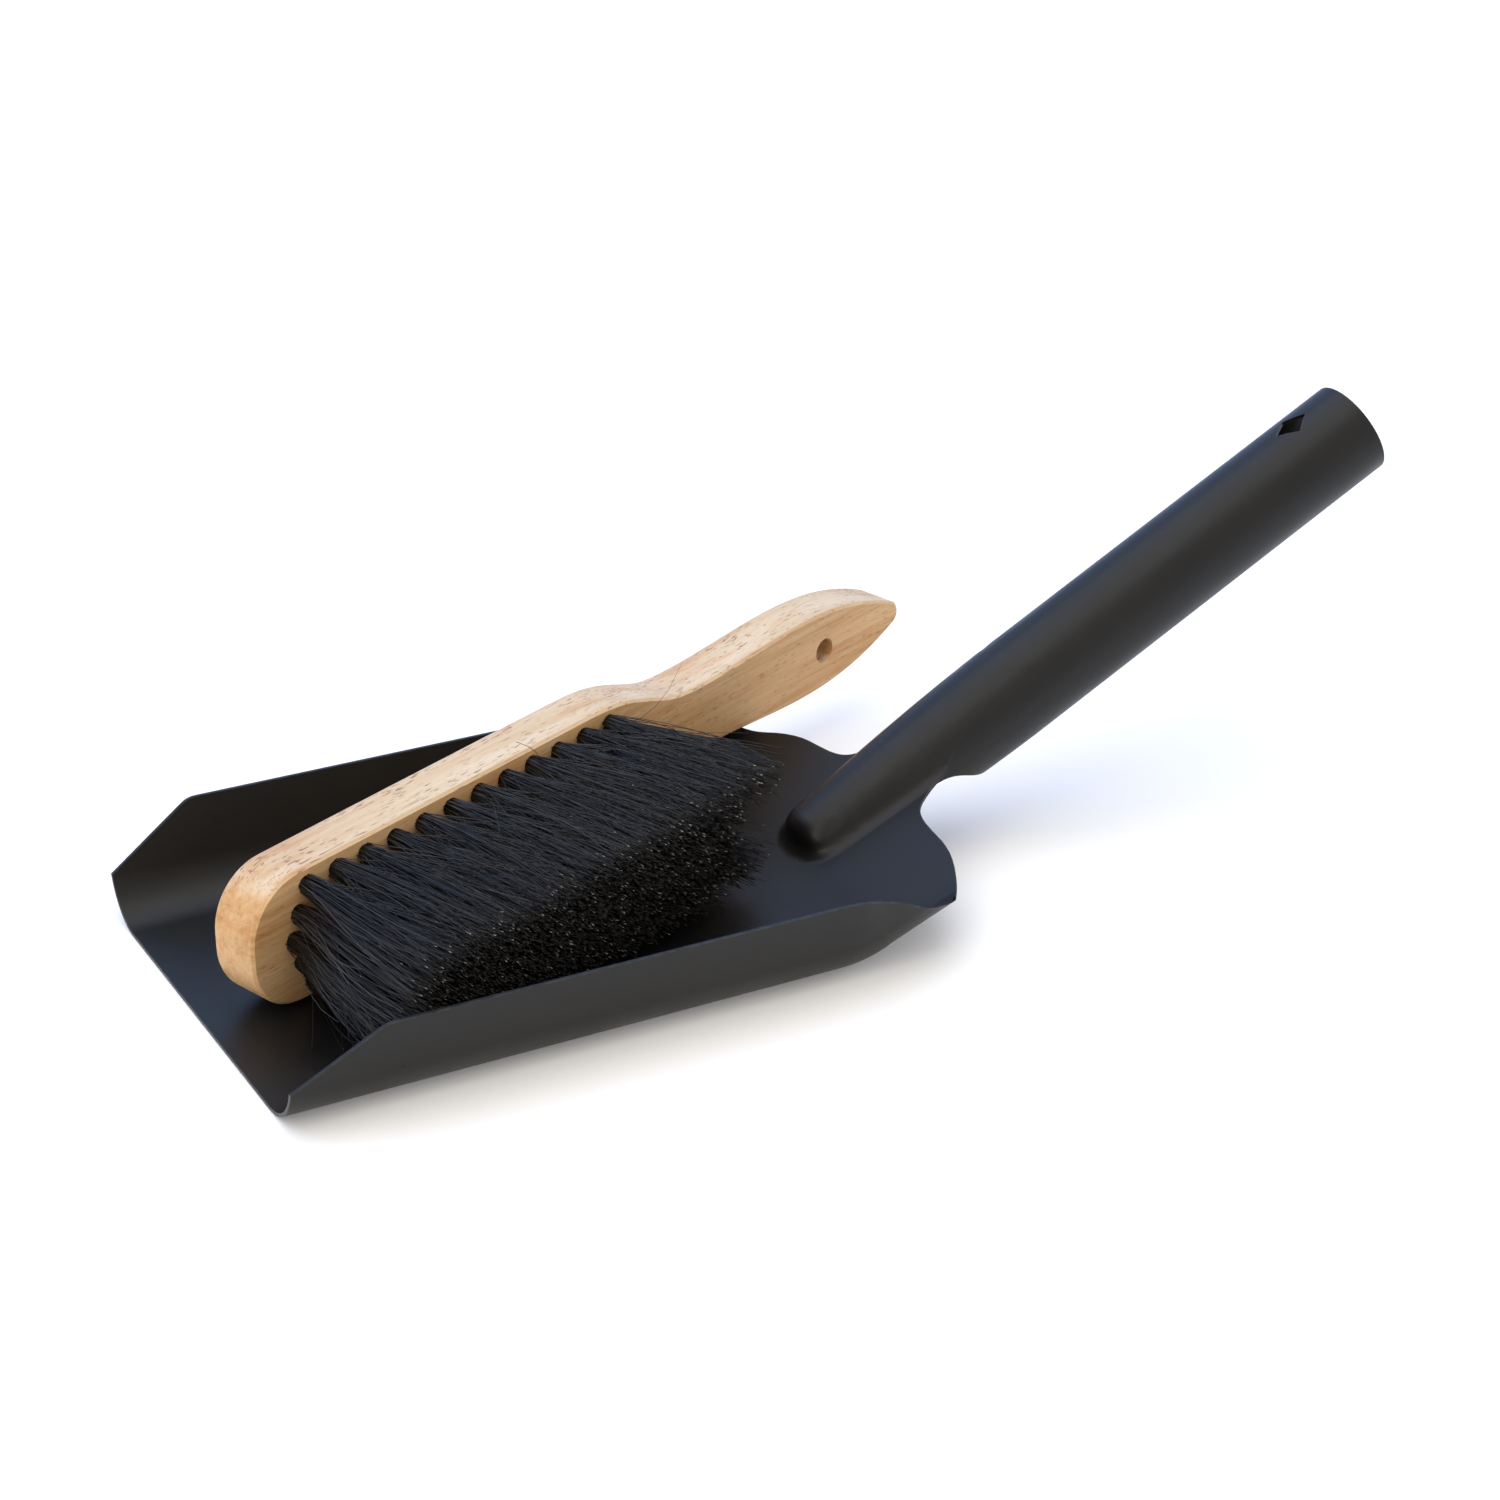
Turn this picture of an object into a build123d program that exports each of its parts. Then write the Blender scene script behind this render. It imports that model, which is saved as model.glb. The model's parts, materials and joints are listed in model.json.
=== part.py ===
from build123d import *
import math
import os

# Dust pan and hand brush. The pan is one pressing of black coated sheet steel whose
# back end is rolled into a tube for a handle. The brush is a wooden block with its
# handle in one piece, set with tufts of black hair, and it lies on its side in the pan.
#
# Frame: millimetres, +X from the front lip to the handle, +Z up, and the origin on
# the underside of the pan, in the middle of its flat floor. The pan is drawn with
# x = 0 at the front lip, and moved to the origin when it is written.

# Pan
sheet = 1.0               # thickness of the steel
floor_half = 53.0         # half width of the flat floor, up to the side bends
bend_radius = 16.0        # inside radius of the side bends
bend_angle = 74.2         # how far the sides are folded up, degrees
wall_top = 29.0           # height of the side walls at the front
wall_top_back = 28.4      # height of the side walls where they start to fall away
wall_falls_from = 146.0   # distance of that place from the lip
corner_cut = 25.5         # length of the slanting cut at each front corner
corner_round = 8.0        # radius where that cut meets the top edge
ramp_start = 173.0        # where the flat floor would meet the ramp
ramp_angle = 27.3         # slope of the ramp and of the tube, degrees
ramp_bend = 40.0          # outside radius of the bend at the foot of the ramp
ramp_run = 85.0           # length that the ramp is drawn to, before it is trimmed
flare_half = 7.0          # how much wider the floor is at the end of that length
flare_radius = 7.0        # how much softer the side bends are there
flare_angle = 8.0         # and how much less they are folded up, degrees
floor_mid = 75.0          # middle of the flat floor, from the lip

# Tube handle, rolled from the same sheet, and the ridge that runs from it down the ramp.
# Distances along the axis are from the middle of the ridge's blunt nose.
tube_radius = 14.9        # outside radius
nose = (191.6, 8.2)       # x and z of the middle of the nose
nose_radius = 11.6        # outside radius of the ridge at its nose
nose_length = 7.0         # how far the nose stands out in front of that place
ridge_length = 80.0       # where the ridge has grown to the tube's radius
tube_length = 209.0       # where the tube ends
seam_gap = 0.6            # open butt seam along the underside
seam_start = 50.0
wrap_start = 35.0         # where the rolled edges leave the ramp
wrap_end = 63.0           # where they meet underneath
crease_round = 5.0        # fillet between the ridge and the ramp
hang_hole = (12.0, 8.8)   # diagonals of the diamond hole, along and across the tube
hang_hole_at = 190.6

# Brush, in its own frame: x from the front end to the handle's tip, y across the
# bristle face, z out of the bristle face
block_thick = 17.0
block_half = 20.1         # half width of the block
block_round = 17.5        # radius of the front corners
block_straight = 129.0    # where the straight sides end
waist = (181.0, 11.1)     # x and half width at the narrowest place
leaf = (232.0, 13.3)      # x and half width at the widest place of the handle
block_length = 277.0      # to the handle's tip
face_bevel = 0.8          # small bevel round the bristle face
back_round = 3.8          # rounding of the back edges
tip_round = 4.2           # radius of the handle's tip, seen on the bristle face
cord_hole = (239.5, 4.0)  # x and radius of the hanging hole

tuft_radius = 2.6         # drilled holes, and the roots of the tufts
tuft_pitch = 10.85        # distance between the tufts of one row
hole_depth = 10.0
anchor = (5.0, 0.5, 1.8)  # flat wire anchor across the bottom of each hole
tip_size = (5.3, 3.3)     # half length and half width of a tuft at its tip
fan = 1.05                # how much the tufts spread along the row towards their tips

# For each row: height on the face, x of its first tuft, number of tufts, height of
# its tips and bristle length. The lowest rows bend up, where the pan's side stops them.
tuft_rows = {
    "a": (15.0, 20.2, 12, 17.2, 57.0),
    "b": (7.5, 16.8, 11, 10.2, 57.0),
    "c": (0.0, 14.6, 11, 3.3, 57.0),
    "d": (-7.5, 16.8, 11, -3.6, 56.0),
    "e": (-15.0, 20.2, 12, -10.5, 54.5),
}

# How the brush lies in the pan
brush_at = (11.4, -15.0, 21.6)   # front end of the middle of the bristle face
brush_yaw = 21.26                # its handle points to the far back corner
brush_pitch = 2.58               # and stands a little higher there
bristle_dip = 2.74               # the bristle tips lean towards the floor

to_origin = Pos(-floor_mid, 0, 0)
tube_frame = Pos(nose[0], 0, nose[1]) * Rot(0, -ramp_angle, 0)
brush_frame = (Pos(*brush_at) * Rot(0, 0, brush_yaw) * Rot(0, -brush_pitch, 0)
               * Rot(90 + bristle_dip, 0, 0))


def write(name, shape):
    """Moves a sub-part to the shared origin and writes it under its own name."""
    shape = to_origin * shape
    shape.label = name
    export_step(shape, f"parts/{name}.step")


def prism(face, plane, half_depth):
    """A solid from a flat outline, the same depth on both sides of its plane."""
    return extrude(plane * face, amount=half_depth, both=True)


def trough_section(plane, lift, flare):
    """Outline across the pan of the space above the sheet, wider and softer with flare."""
    height = 36.0
    half = floor_half + flare * flare_half
    radius = bend_radius + flare * flare_radius + sheet
    angle = bend_angle - flare * flare_angle
    turn = math.radians(angle)
    centre = (half, radius)
    radius -= lift
    bend_end = (centre[0] + radius * math.sin(turn), centre[1] - radius * math.cos(turn))
    top = (bend_end[0] + (height - bend_end[1]) / math.tan(turn), height)
    with BuildSketch() as section:
        with BuildLine():
            Line((0, lift), (half, lift))
            CenterArc(centre, radius, -90, angle)
            Polyline(bend_end, top, (0, height), (0, lift))
        make_face()
        mirror(about=Plane.YZ)
    return plane * section.sketch


def trough(lift):
    """The space above one surface of the bent sheet, lift above its underside."""
    slope = (math.cos(math.radians(ramp_angle)), math.sin(math.radians(ramp_angle)))
    foot = ramp_bend * math.tan(math.radians(ramp_angle / 2))
    with BuildLine(Plane.XZ) as floor_line:
        Line((-5, 0), (ramp_start - foot, 0))
        CenterArc((ramp_start - foot, ramp_bend), ramp_bend, -90, ramp_angle)
    places = [(-5, 0, 0), (ramp_start + foot * slope[0], 0, foot * slope[1]),
              (ramp_start + ramp_run * slope[0], 0, ramp_run * slope[1])]
    across = (0, 1, 0)
    flat, bent, far = [
        trough_section(Plane(origin=place, x_dir=across, z_dir=(way[0], 0, way[1])), lift, flare)
        for place, way, flare in zip(places, [(1, 0), slope, slope], [0, 0, 1])
    ]
    return sweep(flat, path=floor_line.wire()) + loft([bent, far], ruled=True)


def round_bar(inset, length):
    """A round bar along the tube's axis, slimmer at its blunt nose; inset shrinks it all round."""
    reach = nose_length - inset
    start = nose_radius - inset
    full = tube_radius - inset
    growth = 1.6 * (full - start) / ridge_length
    with BuildSketch() as profile:
        with BuildLine():
            Spline((-reach, 0), (0, start), tangents=[(0, 1), (1, growth)])
            Spline((0, start), (ridge_length, full), tangents=[(1, growth), (1, 0)])
            Polyline((ridge_length, full), (length, full), (length, 0), (-reach, 0))
        make_face()
    return tube_frame * revolve(profile.sketch, Axis.X)


def plan_outline():
    """Seen from above: round rear corners, shoulders and a notch each side of the tube."""
    with BuildSketch() as outline:
        with BuildLine():
            edge = Spline((189, 76), (197, 67), (205, 54.5), (209.6, 41.5),
                          (211.2, 28), (213.8, 20.5), (220, 16.2), (232, 12.5))
            Polyline((232, 12.5), (232, 0), (-2, 0), (-2, 90), (189, 90), (189, 76))
        make_face()
        mirror(about=Plane.XZ)
    return prism(outline.sketch, Plane.XY, 80)


def above_walls():
    """What is cut away above the side walls: seen from the side, front corner and top."""
    bend_top = bend_radius + sheet - bend_radius * math.cos(math.radians(bend_angle))
    with BuildSketch(Plane.XZ) as outline:
        with BuildLine():
            front = FilletPolyline((0, bend_top), (corner_cut, wall_top),
                                   (wall_falls_from, wall_top_back), radius=corner_round)
            back = Spline((wall_falls_from, wall_top_back), (164, 27.8), (172, 25.9),
                          (179, 23.1), (187, 19.2), (198, 16.8), tangents=[(1, -0.01), (1, -0.3)])
            Polyline(back @ 1, (198, 90), (-6, 90), (-6, bend_top - 3.9), front @ 0)
        make_face()
    between_walls = Box(500, 2 * (floor_half + 5), 200)
    return extrude(outline.sketch, amount=95, both=True) - between_walls


def below_tube():
    """What is cut away under the ridge and the neck, in the tube's frame."""
    sheet_middle = Pos(ramp_start, 0, sheet / 2) * Vertex(0, 0, 0)
    height = (tube_frame.inverse() * sheet_middle).Z
    with BuildSketch(Plane.XZ) as outline:
        with BuildLine():
            edge = Spline((wrap_start, height), (wrap_start + 13, -7.5), (wrap_end, -tube_radius - 0.3),
                          tangents=[(1, 0), (1, -0.1)])
            Polyline(edge @ 1, (wrap_end, -60), (-40, -60), (-40, height), edge @ 0)
        make_face()
    return tube_frame * extrude(outline.sketch, amount=30, both=True)


def crease_edges(above, ridge):
    """The edges of the space above the sheet where the ridge meets the top of the ramp."""
    slope = math.radians(ramp_angle)
    creases = ShapeList()
    for edge in above.edges():
        points = [edge @ share for share in (0.01, 0.3, 0.5, 0.7, 0.99)]
        heights = [p.Z * math.cos(slope) - (p.X - ramp_start) * math.sin(slope) for p in points]
        on_ramp = all(abs(height - sheet) < 0.1 for height in heights)
        if on_ramp and all(ridge.distance_to(Vertex(*p)) < 0.02 for p in points):
            creases.append(edge)
    return creases


def make_pan():
    ridge = round_bar(0, tube_length)
    hollow = round_bar(sheet, tube_length + 5)
    above = trough(sheet) - ridge
    above = fillet(crease_edges(above, ridge), crease_round)
    tub = (trough(0) - hollow - above) & plan_outline()
    hood = ridge - hollow - below_tube()
    pan = hood + (tub - above_walls())
    seam = tube_frame * Pos(tube_length, 0, -tube_radius) * Box(2 * (tube_length - seam_start), seam_gap, 5)
    diamond = Polygon((hang_hole[0] / 2, 0), (0, hang_hole[1] / 2),
                      (-hang_hole[0] / 2, 0), (0, -hang_hole[1] / 2))
    hole = tube_frame * Pos(hang_hole_at, 0, 0) * extrude(diamond, amount=tube_radius + 5)
    lip = Pos(-5, 0, 0) * Box(10, 300, 100)
    return pan - lip - hole - seam


def tuft_places():
    """Name, place on the face, place of the tip and bristle length of every tuft."""
    middle = block_round + (block_straight - block_round) / 2 + 6
    for row, (y, first, count, tip_y, length) in tuft_rows.items():
        for number in range(count):
            x = first + number * tuft_pitch
            yield f"tuft_{row}{number + 1:02d}", (x, y), (middle + (x - middle) * fan, tip_y), length


def make_block():
    with BuildSketch() as outline:
        with BuildLine():
            front = block_half - block_round
            Line((0, 0), (0, front))
            RadiusArc((0, front), (block_round, block_half), block_round)
            Line((block_round, block_half), (block_straight, block_half))
            Spline((block_straight, block_half), (149, 18.4), (164, 13.4), waist,
                   tangents=[(1, 0), (1, 0)])
            tip = CenterArc((block_length - tip_round, 0), tip_round, 0, 65)
            Spline(waist, leaf, (254, 10.9), tip @ 1,
                   tangents=[(1, 0), (math.sin(math.radians(65)), -math.cos(math.radians(65)))])
            Line((block_length, 0), (0, 0))
        make_face()
        mirror(about=Plane.XZ)
    block = extrude(outline.sketch, amount=-block_thick)
    block = chamfer(block.faces().sort_by(Axis.Z)[-1].edges(), face_bevel)
    block = fillet(block.faces().sort_by(Axis.Z)[0].edges(), back_round)
    block -= Pos(cord_hole[0], 0, 0) * Cylinder(cord_hole[1], 60)
    drill = Pos(0, 0, -hole_depth / 2) * Cylinder(tuft_radius, hole_depth)
    return block - [Pos(*place, 0) * drill for _, place, _, _ in tuft_places()]


def make_tuft(place, tip, length):
    root = -hole_depth + anchor[2]
    sections = [
        Pos(*place, root) * Circle(tuft_radius),
        Pos(*place, 0) * Circle(tuft_radius),
        Pos(*tip, length) * Ellipse(*tip_size),
    ]
    return loft(sections, ruled=True)


def make_anchors():
    wire = Pos(0, 0, -hole_depth + anchor[2] / 2) * Box(*anchor)
    return Compound([Pos(*place, 0) * wire for _, place, _, _ in tuft_places()])


os.makedirs("parts", exist_ok=True)
write("pan", make_pan())
write("brush_block", brush_frame * make_block())
write("tuft_anchors", brush_frame * make_anchors())
for name, place, tip, length in tuft_places():
    write(name, brush_frame * make_tuft(place, tip, length))
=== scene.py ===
import json
import math
import random
import bpy
from mathutils import Matrix, Vector

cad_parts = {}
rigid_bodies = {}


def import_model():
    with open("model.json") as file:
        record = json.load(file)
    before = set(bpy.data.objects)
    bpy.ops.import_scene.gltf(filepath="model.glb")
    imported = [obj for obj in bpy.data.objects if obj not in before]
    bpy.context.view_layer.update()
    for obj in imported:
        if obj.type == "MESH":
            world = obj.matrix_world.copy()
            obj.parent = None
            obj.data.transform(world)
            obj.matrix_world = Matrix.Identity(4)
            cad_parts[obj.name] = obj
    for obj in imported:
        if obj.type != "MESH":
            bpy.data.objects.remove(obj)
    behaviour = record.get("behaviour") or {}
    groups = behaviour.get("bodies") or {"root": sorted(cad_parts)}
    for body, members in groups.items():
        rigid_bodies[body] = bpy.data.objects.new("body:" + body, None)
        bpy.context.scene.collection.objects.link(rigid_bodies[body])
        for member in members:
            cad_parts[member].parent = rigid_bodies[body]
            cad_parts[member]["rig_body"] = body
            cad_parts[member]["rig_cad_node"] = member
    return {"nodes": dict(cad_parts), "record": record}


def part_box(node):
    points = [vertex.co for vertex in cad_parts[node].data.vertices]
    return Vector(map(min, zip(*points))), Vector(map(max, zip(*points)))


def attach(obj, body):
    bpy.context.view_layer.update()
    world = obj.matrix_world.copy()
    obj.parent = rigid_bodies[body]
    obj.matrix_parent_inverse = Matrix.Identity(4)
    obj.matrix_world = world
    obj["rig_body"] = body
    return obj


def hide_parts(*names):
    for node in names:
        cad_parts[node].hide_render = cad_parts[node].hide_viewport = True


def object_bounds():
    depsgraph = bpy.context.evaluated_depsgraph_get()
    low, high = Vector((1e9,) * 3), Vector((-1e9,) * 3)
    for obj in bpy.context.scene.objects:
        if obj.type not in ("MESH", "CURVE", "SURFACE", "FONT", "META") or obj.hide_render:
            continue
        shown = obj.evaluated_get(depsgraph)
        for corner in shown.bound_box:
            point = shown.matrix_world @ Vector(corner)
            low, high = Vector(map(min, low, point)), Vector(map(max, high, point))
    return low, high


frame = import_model()
cadLow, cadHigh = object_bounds()
random.seed(7)

# helpers
mm = 0.001


def hexColour(text):
    # sRGB hex to the linear values that the shader wants
    parts = [int(text[i:i + 2], 16) / 255 for i in (1, 3, 5)]
    return [p / 12.92 if p <= 0.04045 else ((p + 0.055) / 1.055) ** 2.4 for p in parts] + [1.0]


def newMaterial(name):
    material = bpy.data.materials.new(name)
    material.use_nodes = True
    tree = material.node_tree
    return material, tree, tree.nodes["Principled BSDF"]


def addNode(tree, kind, settings=None, inputs=None, links=None):
    # settings are the node's own options, inputs are socket values, links are wires into it
    node = tree.nodes.new(kind)
    for key, value in (settings or {}).items():
        setattr(node, key, value)
    for key, value in (inputs or {}).items():
        node.inputs[key].default_value = value
    for key, source in (links or {}).items():
        tree.links.new(source, node.inputs[key])
    return node


def setRamp(node, stops):
    elements = node.color_ramp.elements
    while len(elements) < len(stops):
        elements.new(0.5)
    for element, (place, colour) in zip(elements, stops):
        element.position = place
        element.color = hexColour(colour)


def deselectAll():
    if bpy.context.object and bpy.context.object.mode != "OBJECT":
        bpy.ops.object.mode_set(mode="OBJECT")
    bpy.ops.object.select_all(action="DESELECT")


def makeActive(piece):
    deselectAll()
    piece.select_set(True)
    bpy.context.view_layer.objects.active = piece


def copyOfNode(nodeName, pieceName, body):
    # a merged copy of a CAD node, so that its faces share points and shade smoothly
    makeActive(frame["nodes"][nodeName])
    bpy.ops.object.duplicate()
    piece = bpy.context.object
    piece.name = pieceName
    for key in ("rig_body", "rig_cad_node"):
        del piece[key]
    piece.parent = None
    makeActive(piece)
    bpy.ops.mesh.customdata_custom_splitnormals_clear()
    bpy.ops.object.mode_set(mode="EDIT")
    bpy.ops.mesh.select_all(action="SELECT")
    bpy.ops.mesh.remove_doubles(threshold=0.002 * mm)
    bpy.ops.mesh.dissolve_limited(angle_limit=math.radians(0.4))
    bpy.ops.object.mode_set(mode="OBJECT")
    piece.data.materials.clear()
    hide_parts(nodeName)
    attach(piece, body)
    return piece


def softenEdges(piece, settings):
    # a small rounded edge all round, and normals that follow the large faces
    makeActive(piece)
    bevel = piece.modifiers.new("edges", "BEVEL")
    bevel.width = settings["edgeRadius"] * mm
    bevel.segments = 2
    bevel.limit_method = "ANGLE"
    bevel.angle_limit = math.radians(settings["edgeAngle"])
    bevel.use_clamp_overlap = True
    bpy.ops.object.modifier_apply(modifier="edges")
    bpy.ops.object.shade_smooth_by_angle(angle=math.radians(settings["smoothAngle"]))
    weighted = piece.modifiers.new("normals", "WEIGHTED_NORMAL")
    weighted.keep_sharp = True
    bpy.ops.object.modifier_apply(modifier="normals")


# camera
camera = {
    "place": (-313.9, -749.9, 441.9),   # mm
    "looking": (0.4326, 0.7956, -0.4241),
    "lens": 79.2,                       # mm
    "sensor": 36,                       # mm across
    "reach": 50,                        # m, as far as it sees
}
deselectAll()
bpy.ops.object.camera_add()
cam = bpy.context.object
cam.data.lens = camera["lens"]
cam.data.sensor_width = camera["sensor"]
back = -Vector(camera["looking"]).normalized()
right = Vector((0, 0, 1)).cross(back).normalized()
up = back.cross(right)
camTurn = Matrix((right, up, back)).transposed().to_4x4()
cam.matrix_world = Matrix.Translation(Vector(camera["place"]) * mm) @ camTurn
cam.data.clip_end = camera["reach"]
bpy.context.scene.camera = cam
print("camera set")

# floor and light
studio = {
    "floorSize": 14.0,                    # m
    "floorColour": "#f4f3f1",
    "floorDrop": 0.0002,                  # m under the part
    "floorRoughness": 0.9,
    "floorGlow": 0.12,                    # a little of its own light, so shadows stay faint
    "aim": (0.08, 0.0, 0.03),             # m, where the lamps point
    "skyFrom": -0.15, "skyTo": 0.45,      # how far round the front glow turns into sky
    "frontGlow": (0.86, 0.83, 0.80, 1),   # pale warm walls in front
    "skyGlow": (0.52, 0.74, 1.24, 1),     # clear north sky behind
    "lamps": {
        # name: place in m, size in m, power in W, colour
        "overhead": ((-0.3, 0.2, 2.3), 3.4, 34, (1.0, 0.985, 0.96)),
        "frontLeft": ((-1.7, -1.1, 1.3), 1.4, 13, (1.0, 0.92, 0.82)),
    },
}
deselectAll()
bpy.ops.mesh.primitive_plane_add(size=studio["floorSize"],
                                 location=(0, 0, cadLow.z - studio["floorDrop"]))
floor = bpy.context.object
floor.name = "studioFloor"
floorPaint, tree, shader = newMaterial("mattPaperFloor")   # seamless paper: flat and pale
shader.inputs["Base Color"].default_value = hexColour(studio["floorColour"])
shader.inputs["Roughness"].default_value = studio["floorRoughness"]
shader.inputs["Emission Color"].default_value = (1, 1, 1, 1)
shader.inputs["Emission Strength"].default_value = studio["floorGlow"]
floor.data.materials.append(floorPaint)
for name, (place, size, power, colour) in studio["lamps"].items():
    bpy.ops.object.light_add(type="AREA", location=place)
    lamp = bpy.context.object
    lamp.name = name
    lamp.data.shape = "DISK"
    lamp.data.size = size
    lamp.data.energy = power
    lamp.data.color = colour
    lampWay = Vector(studio["aim"]) - Vector(place)
    lamp.rotation_euler = lampWay.to_track_quat("-Z", "Y").to_euler()
world = bpy.data.worlds.new("softSky")
world.use_nodes = True
bpy.context.scene.world = world
sky = world.node_tree
direction = addNode(sky, "ShaderNodeSeparateXYZ",
                    links={"Vector": addNode(sky, "ShaderNodeTexCoord").outputs["Generated"]})
behind = addNode(sky, "ShaderNodeMapRange", {"interpolation_type": "SMOOTHSTEP"},
                 {"From Min": studio["skyFrom"], "From Max": studio["skyTo"]},
                 {"Value": direction.outputs["Y"]})
glow = addNode(sky, "ShaderNodeMix", {"data_type": "RGBA"},
               {6: studio["frontGlow"], 7: studio["skyGlow"]}, {0: behind.outputs["Result"]})
sky.links.new(glow.outputs[2], sky.nodes["Background"].inputs["Color"])
bpy.context.scene.view_settings.view_transform = "Standard"
print("studio set")

# where the brush lies, read from the frame
mounts = {mount["name"]: mount for mount in frame["record"]["mounts"]}


def middleOf(nodeName):
    low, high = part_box(nodeName)
    return (low + high) / 2


boreWay = Vector(mounts["hanging_bore"]["axis"]).normalized()   # square to the face, either way
outOfFace = boreWay.dot(middleOf("tuft_c06") - middleOf("brush_block"))
bristleWay = boreWay * math.copysign(1, outOfFace)
alongWay = (middleOf("tuft_a12") - middleOf("tuft_a01")).normalized()
alongWay = (alongWay - bristleWay * alongWay.dot(bristleWay)).normalized()
acrossWay = bristleWay.cross(alongWay)
brushTurn = Matrix((alongWay, acrossWay, bristleWay)).transposed()
boreMouth = Vector(mounts["hanging_bore"]["pos_m"])


def toBrush(point):
    return brushTurn.transposed() @ (point - boreMouth)   # x along, y across, z out of the face


def fromBrush(point):
    return boreMouth + brushTurn @ point


# pan
panSettings = {
    "edgeRadius": 0.28, "edgeAngle": 50, "smoothAngle": 35,
    "coat": "#101010", "coatWarm": "#141210", "rubbed": "#383532",
    "roughness": (0.36, 0.46),
    "orangePeel": 1.1,        # mm between the bumps of the coat
    "fineGrain": 0.35,        # mm, the powder's own grain
    "scuffs": 18.0,           # mm, faint handling marks
    "wearWidth": 0.9,         # mm of rubbed edge
    "wearPatches": 3.5,       # mm from one rubbed patch to the next
    "peelDepth": 0.04,        # mm
    "grainDepth": 0.02,       # mm
    "ior": 1.5, "specular": 0.33,
}


def powderCoat():
    # satin black powder coat on steel, sprayed and baked: a soft broad gloss, a fine orange
    # peel, and slightly worn, greyer metal along the sheet's edges
    material, tree, shader = newMaterial("satinBlackPowderCoat")
    where = addNode(tree, "ShaderNodeTexCoord").outputs["Object"]
    s = panSettings
    cloud = addNode(tree, "ShaderNodeTexNoise",
                    inputs={"Scale": 1 / (s["scuffs"] * mm), "Detail": 6, "Roughness": 0.6},
                    links={"Vector": where})
    tone = addNode(tree, "ShaderNodeValToRGB", links={"Fac": cloud.outputs["Fac"]})
    setRamp(tone, [(0.35, s["coat"]), (0.7, s["coatWarm"])])
    rounded = addNode(tree, "ShaderNodeBevel", {"samples": 6}, {"Radius": s["wearWidth"] * mm})
    plain = addNode(tree, "ShaderNodeNewGeometry")
    turn = addNode(tree, "ShaderNodeVectorMath", {"operation": "DOT_PRODUCT"},
                   links={0: rounded.outputs["Normal"], 1: plain.outputs["True Normal"]})
    edge = addNode(tree, "ShaderNodeMapRange", inputs={"From Min": 0.99, "From Max": 0.80},
                   links={"Value": turn.outputs["Value"]})
    patchy = addNode(tree, "ShaderNodeTexNoise", inputs={"Scale": 1 / (s["wearPatches"] * mm), "Detail": 5},
                     links={"Vector": where})
    patches = addNode(tree, "ShaderNodeMapRange", inputs={"From Min": 0.38, "From Max": 0.62},
                      links={"Value": patchy.outputs["Fac"]})
    wear = addNode(tree, "ShaderNodeMath", {"operation": "MULTIPLY"},
                   links={0: edge.outputs["Result"], 1: patches.outputs["Result"]})
    colour = addNode(tree, "ShaderNodeMix", {"data_type": "RGBA"}, {7: hexColour(s["rubbed"])},
                     {0: wear.outputs["Value"], 6: tone.outputs["Color"]})
    tree.links.new(colour.outputs[2], shader.inputs["Base Color"])
    gloss = addNode(tree, "ShaderNodeMapRange",
                    inputs={"From Min": 0.3, "From Max": 0.7,
                            "To Min": s["roughness"][0], "To Max": s["roughness"][1]},
                    links={"Value": cloud.outputs["Fac"]})
    tree.links.new(gloss.outputs["Result"], shader.inputs["Roughness"])
    peel = addNode(tree, "ShaderNodeTexNoise", inputs={"Scale": 1 / (s["orangePeel"] * mm), "Detail": 2},
                   links={"Vector": where})
    grain = addNode(tree, "ShaderNodeTexNoise", inputs={"Scale": 1 / (s["fineGrain"] * mm), "Detail": 1},
                    links={"Vector": where})
    peelBump = addNode(tree, "ShaderNodeBump", inputs={"Strength": 0.35, "Distance": s["peelDepth"] * mm},
                       links={"Height": peel.outputs["Fac"]})
    grainBump = addNode(tree, "ShaderNodeBump", inputs={"Strength": 0.3, "Distance": s["grainDepth"] * mm},
                        links={"Height": grain.outputs["Fac"], "Normal": peelBump.outputs["Normal"]})
    tree.links.new(grainBump.outputs["Normal"], shader.inputs["Normal"])
    shader.inputs["IOR"].default_value = s["ior"]
    shader.inputs["Specular IOR Level"].default_value = s["specular"]
    return material


dustPan = copyOfNode("pan", "dustPan", "pan")
softenEdges(dustPan, panSettings)
dustPan.data.materials.append(powderCoat())
print("pan done", len(dustPan.data.polygons))

# brush block
blockSettings = {
    "edgeRadius": 0.22, "edgeAngle": 40, "smoothAngle": 30,
    "face": ("#e0b988", "#d3a773", "#be8c56"),     # flat sawn, straw to tan
    "side": ("#dcc8ab", "#d2b997", "#c6a680"),     # the edges of the board, painted paler: a lit copy of the wood for the light falling on the top edge
    "end": ("#d3ab79", "#c99e6a", "#b4844f"),      # end grain, deeper
    "pore": "#84543b",
    "fibre": (60.0, 1.8),      # mm along and across the grain
    "bands": (170.0, 11.0),    # mm, the growth bands
    "streaks": (34.0, 5.0),    # mm, warm patches
    "pores": (3.6, 0.55),      # mm from one open pore to the next, along and across
    "endPores": (0.9, 0.9),
    "clumps": (22.0, 6.0),     # mm, where the pores crowd together
    "warm": "#e8b484",         # tint of the warm patches
    "poreDepth": 0.10,         # mm
    "fibreDepth": 0.05,        # mm
    "specular": 0.35,
}


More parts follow.
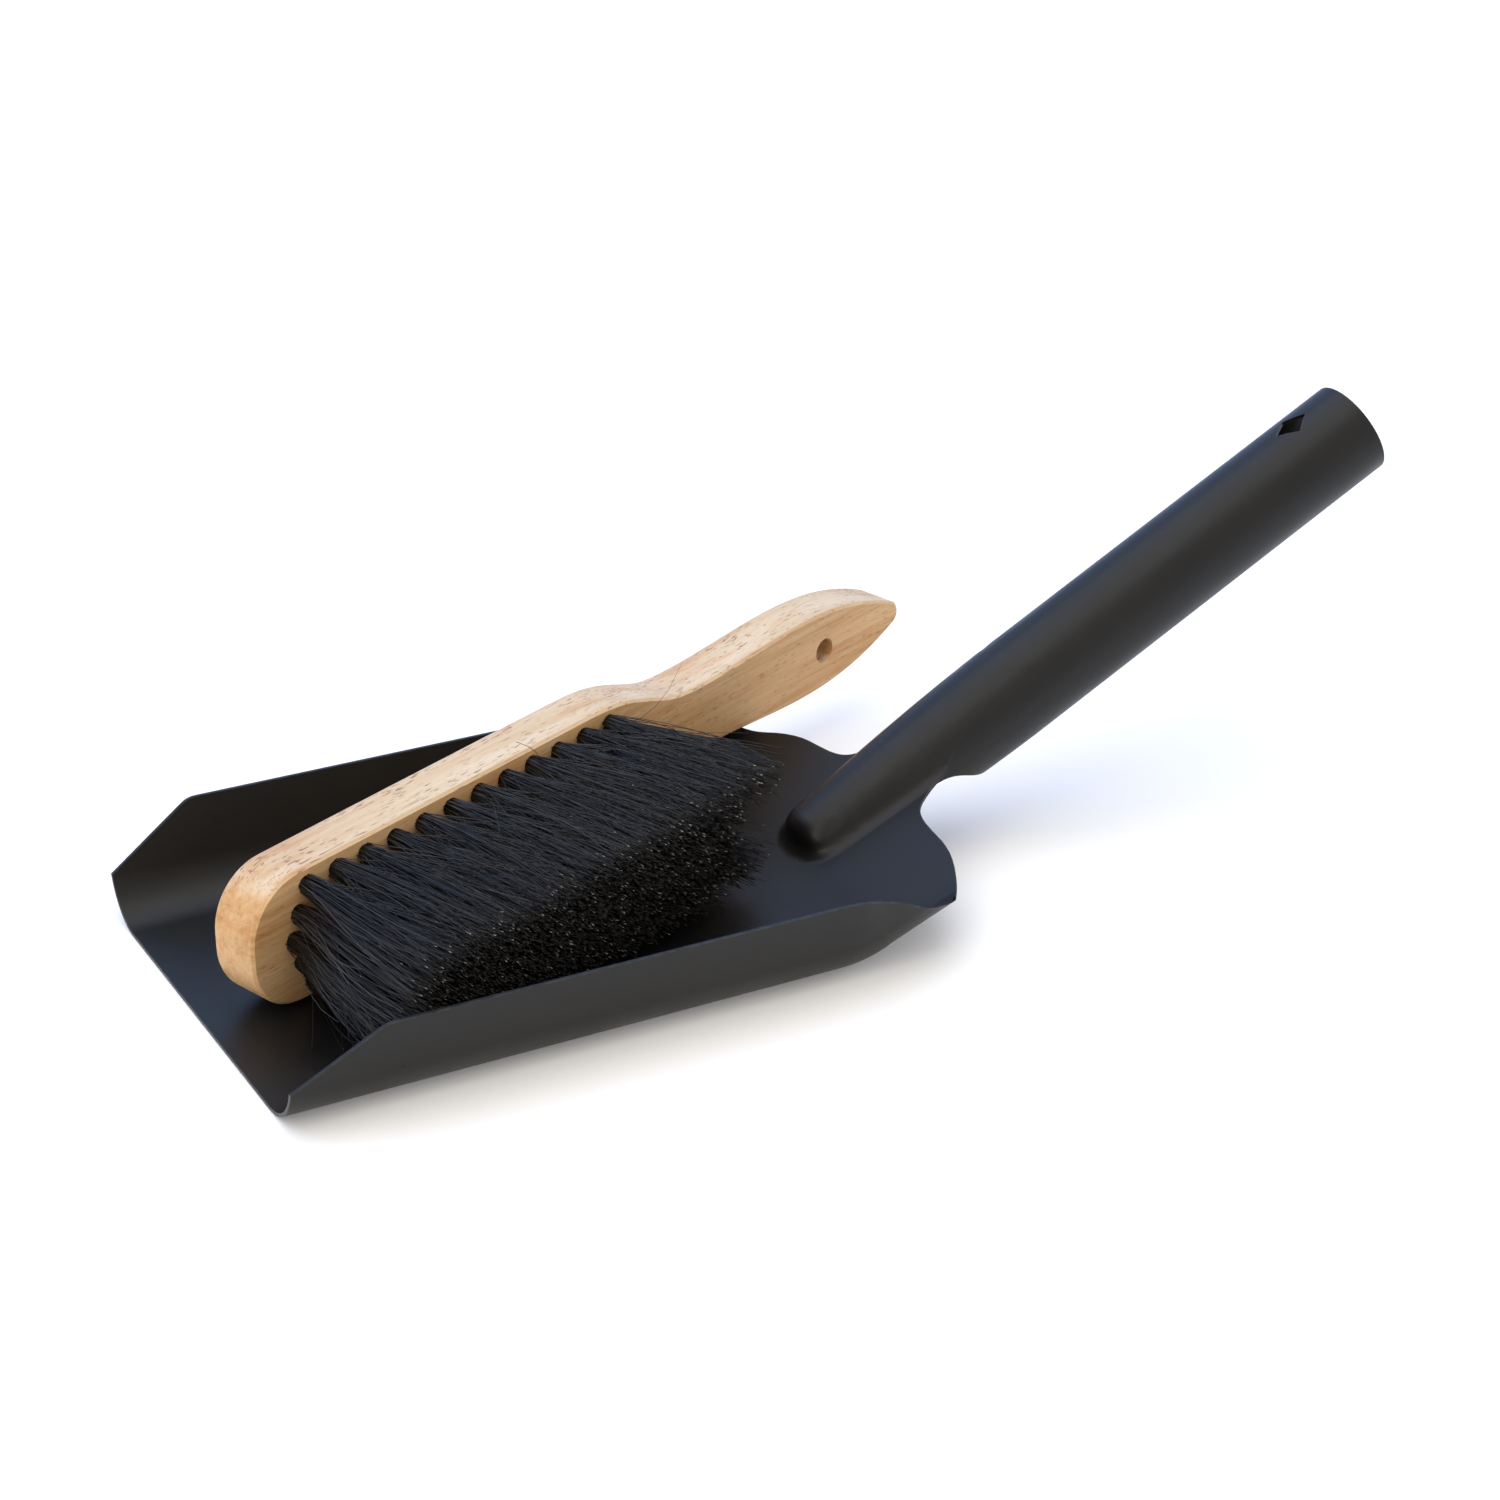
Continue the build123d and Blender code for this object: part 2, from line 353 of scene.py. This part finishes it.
def rubberwood():
    # sanded rubberwood under a thin clear lacquer: straight grain with many short open pores
    # that show as brown dashes, straw to tan on the face, deeper end grain, and on the edges a paler
    # cream that is painted light, for the light falling on the board's top edge
    material, tree, shader = newMaterial("sandedRubberwood")
    s = blockSettings
    place = addNode(tree, "ShaderNodeTexCoord").outputs["Object"]
    local = addNode(tree, "ShaderNodeMapping", {"vector_type": "TEXTURE"},
                    {"Location": boreMouth, "Rotation": brushTurn.to_euler()}, {"Vector": place})

    def stretched(size, detail, roughness=0.5, distortion=0.0):
        along, across = size
        scaled = addNode(tree, "ShaderNodeMapping",
                         inputs={"Scale": (1 / (along * mm), 1 / (across * mm), 1 / (across * mm))},
                         links={"Vector": local.outputs["Vector"]})
        return addNode(tree, "ShaderNodeTexNoise",
                       inputs={"Scale": 1.0, "Detail": detail, "Roughness": roughness,
                               "Distortion": distortion},
                       links={"Vector": scaled.outputs["Vector"]}).outputs["Fac"]

    def facing(way):
        turned = addNode(tree, "ShaderNodeVectorMath", {"operation": "DOT_PRODUCT"}, {1: way}, {0: normal})
        square = addNode(tree, "ShaderNodeMath", {"operation": "ABSOLUTE"},
                         links={0: turned.outputs["Value"]})
        share = addNode(tree, "ShaderNodeMapRange", {"interpolation_type": "SMOOTHSTEP"},
                        {"From Min": 0.45, "From Max": 0.85}, {"Value": square.outputs["Value"]})
        return share.outputs["Result"]

    def mixed(share, first, second):
        return addNode(tree, "ShaderNodeMix", {"data_type": "RGBA"},
                       links={0: share, 6: first, 7: second}).outputs[2]

    def toned(colours):
        ramp = addNode(tree, "ShaderNodeValToRGB", links={"Fac": half.outputs["Value"]})
        setRamp(ramp, list(zip((0.36, 0.5, 0.64), colours)))
        return ramp.outputs["Color"]

    normal = addNode(tree, "ShaderNodeNewGeometry").outputs["Normal"]
    fibre = stretched(s["fibre"], 5, 0.62, 0.3)
    bands = stretched(s["bands"], 2, 0.4, 0.5)
    streaks = stretched(s["streaks"], 3)
    pores = stretched(s["pores"], 1, 0.4)
    endPores = stretched(s["endPores"], 1, 0.4)
    clumps = stretched(s["clumps"], 2)
    both = addNode(tree, "ShaderNodeMath", {"operation": "ADD"}, links={0: fibre, 1: bands})
    half = addNode(tree, "ShaderNodeMath", {"operation": "MULTIPLY"}, {1: 0.5}, {0: both.outputs["Value"]})
    # faces square to the rows get the paler palette, painted light for the lit top edge; their pores also
    # show more
    litSideShare = facing(acrossWay)
    endShare = facing(alongWay)
    board = mixed(endShare, mixed(litSideShare, toned(s["face"]), toned(s["side"])), toned(s["end"]))
    streakShare = addNode(tree, "ShaderNodeMapRange",
                          inputs={"From Min": 0.52, "From Max": 0.72, "To Max": 0.45},
                          links={"Value": streaks})
    warmed = addNode(tree, "ShaderNodeMix", {"data_type": "RGBA", "blend_type": "MULTIPLY"},
                     {7: hexColour(s["warm"])}, {0: streakShare.outputs["Result"], 6: board})
    dashes = addNode(tree, "ShaderNodeMapRange", inputs={"From Min": 0.61, "From Max": 0.67},
                     links={"Value": pores})
    dots = addNode(tree, "ShaderNodeMapRange", inputs={"From Min": 0.60, "From Max": 0.70, "To Max": 0.5},
                   links={"Value": endPores})
    which = addNode(tree, "ShaderNodeMix", {"data_type": "FLOAT"},
                    links={0: endShare, 2: dashes.outputs["Result"], 3: dots.outputs["Result"]})
    clumped = addNode(tree, "ShaderNodeMapRange",
                      inputs={"From Min": 0.38, "From Max": 0.58, "To Min": 0.2, "To Max": 0.75},
                      links={"Value": clumps})
    onSide = addNode(tree, "ShaderNodeMapRange", inputs={"To Min": 0.55, "To Max": 1.0},
                     links={"Value": litSideShare})
    strength = addNode(tree, "ShaderNodeMath", {"operation": "MULTIPLY"},
                       links={0: clumped.outputs["Result"], 1: onSide.outputs["Result"]})
    poreShare = addNode(tree, "ShaderNodeMath", {"operation": "MULTIPLY"},
                        links={0: which.outputs[0], 1: strength.outputs["Value"]})
    colour = addNode(tree, "ShaderNodeMix", {"data_type": "RGBA"}, {7: hexColour(s["pore"])},
                     {0: poreShare.outputs["Value"], 6: warmed.outputs[2]})
    tree.links.new(colour.outputs[2], shader.inputs["Base Color"])
    gloss = addNode(tree, "ShaderNodeMapRange", inputs={"To Min": 0.42, "To Max": 0.62},
                    links={"Value": fibre})
    tree.links.new(gloss.outputs["Result"], shader.inputs["Roughness"])
    dent = addNode(tree, "ShaderNodeBump", {"invert": True},
                   {"Strength": 0.5, "Distance": s["poreDepth"] * mm},
                   {"Height": poreShare.outputs["Value"]})
    ripple = addNode(tree, "ShaderNodeBump", inputs={"Strength": 0.25, "Distance": s["fibreDepth"] * mm},
                     links={"Height": fibre, "Normal": dent.outputs["Normal"]})
    tree.links.new(ripple.outputs["Normal"], shader.inputs["Normal"])
    shader.inputs["Specular IOR Level"].default_value = s["specular"]
    return material


brushBlock = copyOfNode("brush_block", "brushBlock", "brush")
softenEdges(brushBlock, blockSettings)
brushBlock.data.materials.append(rubberwood())
print("block done", len(brushBlock.data.polygons))

# anchors: the CAD node stays and gets a drawn wire finish
# flat steel wire, drawn: fine lines and a dull shine
wire, tree, shader = newMaterial("drawnSteelWire")
scratch = addNode(tree, "ShaderNodeTexNoise", inputs={"Scale": 1 / (0.2 * mm), "Detail": 3},
                  links={"Vector": addNode(tree, "ShaderNodeTexCoord").outputs["Object"]})
dull = addNode(tree, "ShaderNodeMapRange", inputs={"To Min": 0.3, "To Max": 0.5},
               links={"Value": scratch.outputs["Fac"]})
tree.links.new(dull.outputs["Result"], shader.inputs["Roughness"])
shader.inputs["Base Color"].default_value = hexColour("#9c9a96")
shader.inputs["Metallic"].default_value = 1.0
anchors = frame["nodes"]["tuft_anchors"]
anchors.data.materials.clear()
anchors.data.materials.append(wire)

# tufts
hairSettings = {
    "perTuft": 200,
    "radius": (0.11, 0.20),       # mm, thinnest and thickest hair
    "rings": (0.08, 0.2, 0.34, 0.5, 0.66, 0.83, 0.985),
    "rootDepth": 3.0,             # mm inside the hole
    "rootRadius": 2.45,           # mm, the bundle where it leaves the hole
    "scatter": (4.2, 2.6, 0.6),   # mm, how far tips stray along, across and out of the rows
    "curl": 3.0,                  # mm, how far a hair wanders from its straight line
    "acrossCurl": 0.6,            # the part of that which it wanders across the rows
    "leaveAt": 0.26,              # where on its length a hair leaves its bundle
    "leaveOut": 1.3,              # mm that it spreads there
    "leaveWander": 0.4,           # the part of its wander that it has there
    "arriveAt": 0.62,             # where it takes its last bend
    "arriveOut": 0.8,             # mm that it spreads there
    "taper": 0.35,                # how much thinner the tip is
    "darkness": 2.5,              # higher for fewer hairs painted grey, which is painted sheen
    "droop": 1.6,                 # mm, how far the tips hang
    "wildShare": 0.2,             # hairs that lie across their neighbours
    "wildScatter": (15.0, 5.0),   # mm, how far their tips stray along and across
    "wildShort": (3.0, 22.0),     # mm, how much sooner those end
    "wildTop": (-2.0, 3.0),       # mm, where they lie in the top row
    "shortShare": 0.08,           # the rest that end early
    "short": (1, 8),              # mm
    "frontBow": 3.0,              # mm, how far the first tufts bow forwards
    "frontLean": 6,               # mm, the most that their tips lean forwards
    "backLean": 7,                # mm, the most that the last tips lean back in the lower rows
    # how strongly a cut end is painted pale as a glint, for hairs that catch the light and for those that
    # don't
    "glint": (0.6, 1.0), "noGlint": (0, 0.03),
    "overhang": 7.0,              # mm, the most that a hair passes the end of its row
    "glintShare": 0.065,          # hairs whose cut end catches the light
    # the grey is painted sheen on some hairs, and the pale cut colour is a painted glint on cut ends
    "dark": "#080706", "sheenGrey": "#3a3632", "cut": "#cfcac0",
}


def horsehair():
    # black horsehair: smooth dark strands, a random tone per hair whose grey end is painted sheen, and a
    # pale painted glint on some cut ends
    material, tree, shader = newMaterial("blackHorsehair")
    s = hairSettings
    tone = addNode(tree, "ShaderNodeAttribute", {"attribute_name": "hairTone"})
    shade = addNode(tree, "ShaderNodeValToRGB", links={"Fac": tone.outputs["Fac"]})
    setRamp(shade, [(0.0, s["dark"]), (1.0, s["sheenGrey"])])
    cut = addNode(tree, "ShaderNodeAttribute", {"attribute_name": "cutEnd"})
    colour = addNode(tree, "ShaderNodeMix", {"data_type": "RGBA"}, {7: hexColour(s["cut"])},
                     {0: cut.outputs["Fac"], 6: shade.outputs["Color"]})
    tree.links.new(colour.outputs[2], shader.inputs["Base Color"])
    gloss = addNode(tree, "ShaderNodeMapRange", inputs={"To Min": 0.30, "To Max": 0.48},
                    links={"Value": tone.outputs["Fac"]})
    tree.links.new(gloss.outputs["Result"], shader.inputs["Roughness"])
    shader.inputs["Specular IOR Level"].default_value = 0.5
    return material


def hairPattern():
    # one straight hair, three sided, cut into rings, from z = 0 at the root to 1 at the tip
    deselectAll()
    bpy.ops.mesh.primitive_cylinder_add(vertices=3, radius=1, depth=1, location=(0, 0, 0.5),
                                        end_fill_type="NGON")
    hair = bpy.context.object
    bpy.ops.object.transform_apply(location=True, rotation=False, scale=False)
    bpy.ops.object.mode_set(mode="EDIT")
    for ring in hairSettings["rings"]:
        bpy.ops.mesh.select_all(action="SELECT")
        bpy.ops.mesh.bisect(plane_co=(0, 0, ring), plane_no=(0, 0, 1))
    bpy.ops.object.mode_set(mode="OBJECT")
    points = [v.co.copy() for v in hair.data.vertices]
    faces = [tuple(p.vertices) for p in hair.data.polygons]
    bpy.data.objects.remove(hair)
    return points, faces


hairPoints, hairFaces = hairPattern()


panInside = {
    "bend": 16.0,          # mm, inside radius of the folded sides
    "flat": 53.0,          # mm from the middle to where the fold starts
    "gap": 1.4,            # mm, the sheet and half a hair
    "inFromLip": 1.5,      # mm
    "steepest": 0.96,      # the part of the fold that is followed
}


def keepInPan(point):
    # hairs that reach the pan's floor or its folded side lie on it, and none passes its front lip
    s = panInside
    side = min(max(abs(point.y / mm) - s["flat"], 0), s["bend"] * s["steepest"])
    floorHere = (s["gap"] + s["bend"] - math.sqrt(s["bend"] ** 2 - side * side)) * mm
    return Vector((max(point.x, cadLow.x + s["inFromLip"] * mm), point.y, max(point.z, floorHere)))


def growHairs(pieceName, paths):
    # paths: (four control points in the brush's own millimetres, radius, tone, strength of the painted
    # glint on the cut end)
    verts, faces, tones, cuts = [], [], [], []
    for path, radius, tone, cut in paths:
        start = len(verts)
        a, b, c, d = path
        for p in hairPoints:
            t = p.z
            nearRoot = a * (1 - t) ** 3 + b * (3 * t * (1 - t) ** 2)
            middle = nearRoot + c * (3 * t * t * (1 - t)) + d * t ** 3
            thin = radius * (1.0 - hairSettings["taper"] * t)
            place = fromBrush((middle + Vector((p.x, p.y, 0)) * thin) * mm)
            verts.append(keepInPan(place))
            tones.append(tone)
            # only the tip ring carries the painted glint
            cuts.append(cut if t > 0.99 else 0.0)
        faces.extend(tuple(start + i for i in face) for face in hairFaces)
    mesh = bpy.data.meshes.new(pieceName)
    mesh.from_pydata(verts, [], faces)
    for name, values in (("hairTone", tones), ("cutEnd", cuts)):
        mesh.attributes.new(name, "FLOAT", "POINT").data.foreach_set("value", values)
    mesh.shade_smooth()
    piece = bpy.data.objects.new(pieceName, mesh)
    bpy.context.scene.collection.objects.link(piece)
    piece.data.materials.append(hairMaterial)
    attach(piece, "brush")
    return piece


def tuftShape(nodeName):
    # root centre, tip centre and half size of the tip of a CAD tuft, in the brush's own millimetres
    points = [toBrush(v.co) / mm for v in frame["nodes"][nodeName].data.vertices]
    top = max(p.z for p in points)
    bottom = min(p.z for p in points)
    ends = []
    for level in (bottom, top):
        ring = [p for p in points if abs(p.z - level) < 0.05]
        xs, ys = [p.x for p in ring], [p.y for p in ring]
        ends.append(Vector(((min(xs) + max(xs)) / 2, (min(ys) + max(ys)) / 2, level)))
        size = Vector(((max(xs) - min(xs)) / 2, (max(ys) - min(ys)) / 2, 0))
    return ends[0], ends[1], size


def hairPaths(root, tip, size, row, atFront, atBack):
    s = hairSettings
    paths = []
    for _ in range(s["perTuft"]):
        turn, reach = random.uniform(0, math.tau), math.sqrt(random.random())
        out = Vector((math.cos(turn), math.sin(turn), 0)) * reach
        start = Vector((root.x, root.y, -s["rootDepth"])) + out * s["rootRadius"]
        wild = random.random() < s["wildShare"]
        strayX, strayY = s["wildScatter"] if wild else s["scatter"][:2]
        end = tip + Vector((out.x * size.x, out.y * size.y, 0))
        end += Vector((random.gauss(0, strayX), random.gauss(0, strayY) - s["droop"],
                       random.gauss(0, s["scatter"][2])))
        if wild:
            end.z -= random.uniform(*s["wildShort"])
            if row == "a":
                end.y = tip.y + random.uniform(*s["wildTop"])
        elif random.random() < s["shortShare"]:
            end.z -= random.uniform(*s["short"])
        if atFront:
            end.x = max(end.x - random.uniform(0, s["frontLean"]), tip.x - 2 * s["overhang"])
        if atBack and row in "cde":
            end.x -= random.uniform(0, s["backLean"])
        if atBack:
            end.x = min(end.x, tip.x + s["overhang"])
        length = end.z - start.z
        wander = [Vector((random.gauss(0, s["curl"]), random.gauss(0, s["curl"] * s["acrossCurl"]), 0))
                  for _ in range(2)]
        leave = start + Vector((0, 0, length * s["leaveAt"])) + out * s["leaveOut"]
        leave += wander[0] * s["leaveWander"]
        arrive = start.lerp(end, s["arriveAt"]) + out * s["arriveOut"] + wander[1]
        arrive += Vector((0, s["droop"] / 2, 0))
        if atFront:
            arrive.x -= s["frontBow"]
        # a few hairs get a pale painted glint on their cut end
        lit = random.random() < s["glintShare"]
        cut = random.uniform(*(s["glint"] if lit else s["noGlint"]))
        radius = random.uniform(*s["radius"])
        # a random tone per hair; its grey end is painted sheen along the strand
        tone = random.random() ** s["darkness"]
        paths.append(((start, leave, arrive, end), radius, tone, cut))
    return paths


hairMaterial = horsehair()
tuftNodes = sorted(name for name in frame["nodes"] if name.startswith("tuft_") and name != "tuft_anchors")
lastOfRow = {name[5]: name for name in tuftNodes}   # the row's letter comes after "tuft_"
for name in tuftNodes:
    root, tip, size = tuftShape(name)
    paths = hairPaths(root, tip, size, name[5], name.endswith("01"), name == lastOfRow[name[5]])
    tuft = growHairs(name.replace("tuft_", "hairTuft"), paths)
    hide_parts(name)
print("tufts done", len(tuftNodes))

# stray hairs that stand out of the tufts
strays = [
    # tuft, where the hair bows to and where it ends, from its root, in the brush's own mm
    ("a12", (6, 2, 14), (22, 14, 9)),
    ("a12", (7, 1, 24), (18, -3, 46)),
    ("a11", (2, 12, 12), (-16, 13, 18)),
    ("a10", (6, 3, 26), (13, -1, 52)),
    ("a09", (-4, 10, 10), (-9, 12, 3)),
    ("a08", (3, 9, 20), (18, 6, 52)),
    ("a07", (-8, 8, 14), (-22, 9, 30)),
    ("a05", (6, 9, 22), (24, 5, 50)),
    ("a03", (-4, 8, 18), (10, 8, 46)),
    ("e01", (-4, -6, 12), (-7, -9, 22)),
    ("e01", (-2, -8, 14), (1, -11, 26)),
    ("d01", (-9, -4, 14), (-16, -12, 20)),
    ("c11", (9, 1, 34), (18, 2, 58)),
    ("d11", (8, 0, 36), (17, -3, 56)),
    ("b11", (10, 2, 34), (20, 3, 57)),
]
strayHair = {
    "upright": 5,       # mm that it leaves the face straight
    "radius": 0.13,     # mm
    # tone gives these hairs a little painted grey sheen, and the cut value a little painted glint at their
    # ends
    "tone": 0.2, "cut": 0.3,
}
for name in sorted({stray[0] for stray in strays}):
    root = tuftShape("tuft_" + name)[0]
    start = Vector((root.x, root.y, 0))
    leave = start + Vector((0, 0, strayHair["upright"]))
    paths = [((start, leave, start + Vector(bow), start + Vector(end)),
              strayHair["radius"], strayHair["tone"], strayHair["cut"])
             for tuftName, bow, end in strays if tuftName == name]
    growHairs("strayHairs" + name, paths)
print("stray hairs done")
